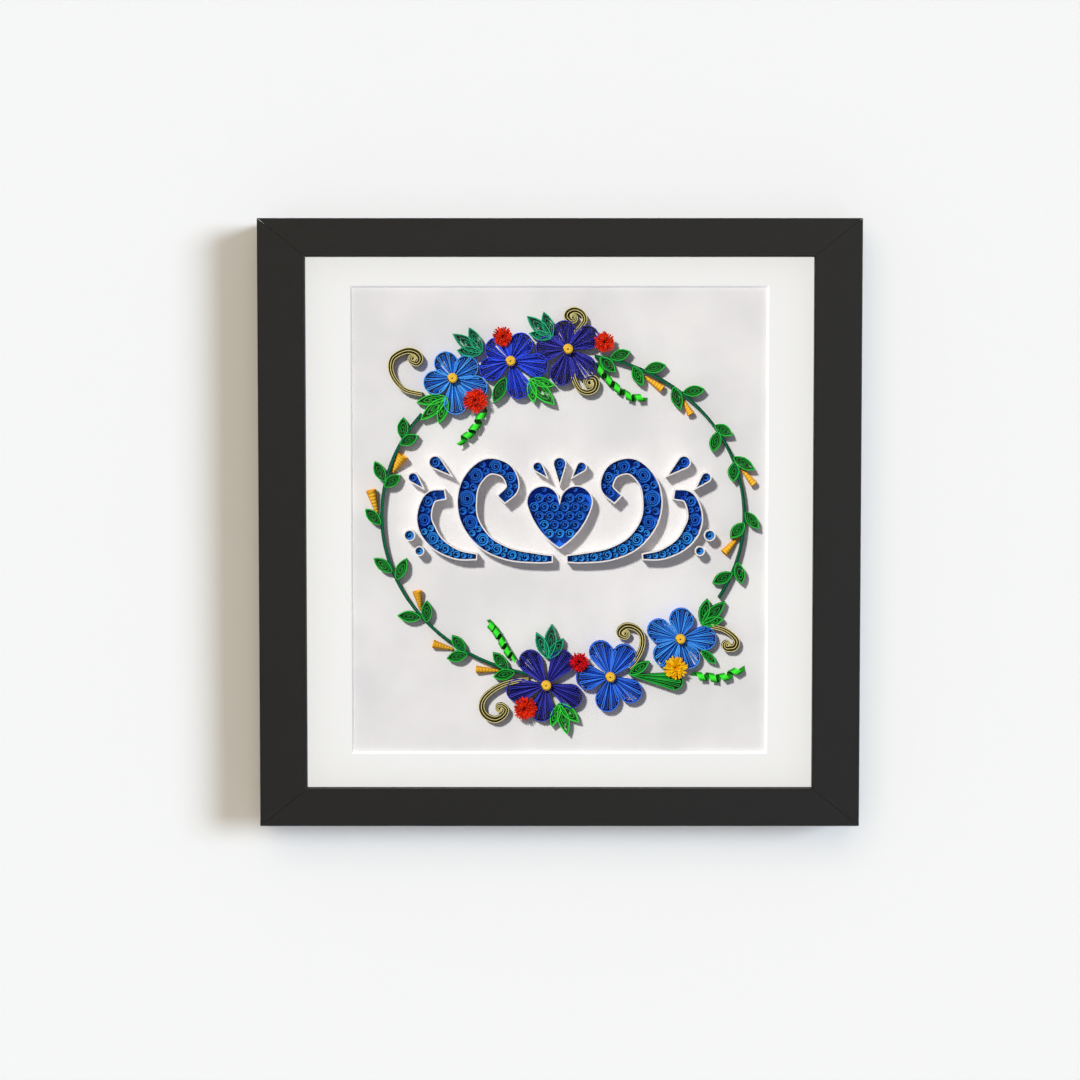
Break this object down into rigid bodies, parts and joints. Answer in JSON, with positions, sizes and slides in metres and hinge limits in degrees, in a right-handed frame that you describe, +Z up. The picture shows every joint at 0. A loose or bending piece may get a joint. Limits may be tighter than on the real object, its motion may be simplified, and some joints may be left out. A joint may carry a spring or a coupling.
{
  "type": "framed quilled paper art",
  "caption": "Square black frame with a white mat round a wreath of quilled paper flowers, leaves and vines, and a quilled heart and scroll ornament in the middle.",
  "frame": {"origin": "middle of the frame's bottom edge, at the level it stands on", "axes": "+X to the viewer's right, +Y from the front to the wall, +Z up"},
  "size_m": [0.305, 0.025, 0.308],
  "materials": {
    "black_moulding": "satin black lacquer on flat moulding",
    "clear_sheet": "clear picture glass",
    "white_board": "smooth white mat board",
    "art_paper": "matte white art paper on board",
    "black_strip": "black foam board strip",
    "brown_board": "plain fibre backing board",
    "plated_steel": "zinc plated",
    "sky_paper": "matte quilling strip",
    "royal_paper": "matte quilling strip",
    "navy_paper": "matte quilling strip",
    "bright_royal_paper": "matte quilling strip",
    "amber_paper": "matte quilling strip",
    "orange_red_paper": "matte fringed strip",
    "crimson_paper": "matte fringed strip",
    "yellow_paper": "matte fringed strip",
    "olive_paper": "matte quilling strip",
    "lime_paper": "matte quilling strip",
    "leaf_green_paper": "matte quilling strip",
    "teal_green_paper": "matte quilling strip",
    "bright_green_paper": "matte quilling strip",
    "white_strip": "white strip on edge",
    "coil_blue_paper": "matte quilling strip"
  },
  "bodies": {
    "root": {"art_ground_sheet": "art_paper", "backing_board": "brown_board", "backing_points": "plated_steel", "bottom_bright_sprig": "bright_green_paper", "bottom_inner_scroll": "olive_paper", "bottom_left_flower_centre": "amber_paper", "bottom_left_flower_petals": "navy_paper", "bottom_left_scroll": "olive_paper", "bottom_left_tendril": "lime_paper", "bottom_middle_flower_centre": "amber_paper", "bottom_middle_flower_petals": "bright_royal_paper", "bottom_red_fringed_flower": "orange_red_paper", "bottom_right_flower_centre": "amber_paper", "bottom_right_flower_petals": "sky_paper", "bottom_right_scroll": "olive_paper", "bottom_right_sprig": "leaf_green_paper", "bottom_right_tendril": "lime_paper", "bottom_teal_sprig": "teal_green_paper", "corner_v_nails": "plated_steel", "crimson_fringed_flower": "crimson_paper", "frame_bottom_rail": "black_moulding", "frame_left_stile": "black_moulding", "frame_right_stile": "black_moulding", "frame_top_rail": "black_moulding", "glazing_sheet": "clear_sheet", "hanger_nails": "plated_steel", "heart_coils": "coil_blue_paper", "left_bright_sprig": "bright_green_paper", "left_red_fringed_flower": "orange_red_paper", "left_vine": "leaf_green_paper", "left_volute_coils": "coil_blue_paper", "long_husked_leaf": "leaf_green_paper", "mat_board": "white_board", "middle_bright_sprig": "bright_green_paper", "ornament_walls": "white_strip", "right_red_fringed_flower": "orange_red_paper", "right_vine": "leaf_green_paper", "right_volute_coils": "coil_blue_paper", "sawtooth_hanger": "plated_steel", "single_leaves": "leaf_green_paper", "spacer_bottom": "black_strip", "spacer_left": "black_strip", "spacer_right": "black_strip", "spacer_top": "black_strip", "top_inner_scroll": "olive_paper", "top_left_flower_centre": "amber_paper", "top_left_flower_petals": "sky_paper", "top_left_scroll": "olive_paper", "top_left_sprig": "teal_green_paper", "top_left_tendril": "lime_paper", "top_middle_flower_centre": "amber_paper", "top_middle_flower_petals": "royal_paper", "top_red_fringed_flower": "orange_red_paper", "top_right_flower_centre": "amber_paper", "top_right_flower_petals": "navy_paper", "top_right_scroll": "olive_paper", "top_right_sprig": "teal_green_paper", "top_right_tendril": "lime_paper", "vine_cones": "amber_paper", "yellow_fringed_flower": "yellow_paper"}
  },
  "joints": []
}
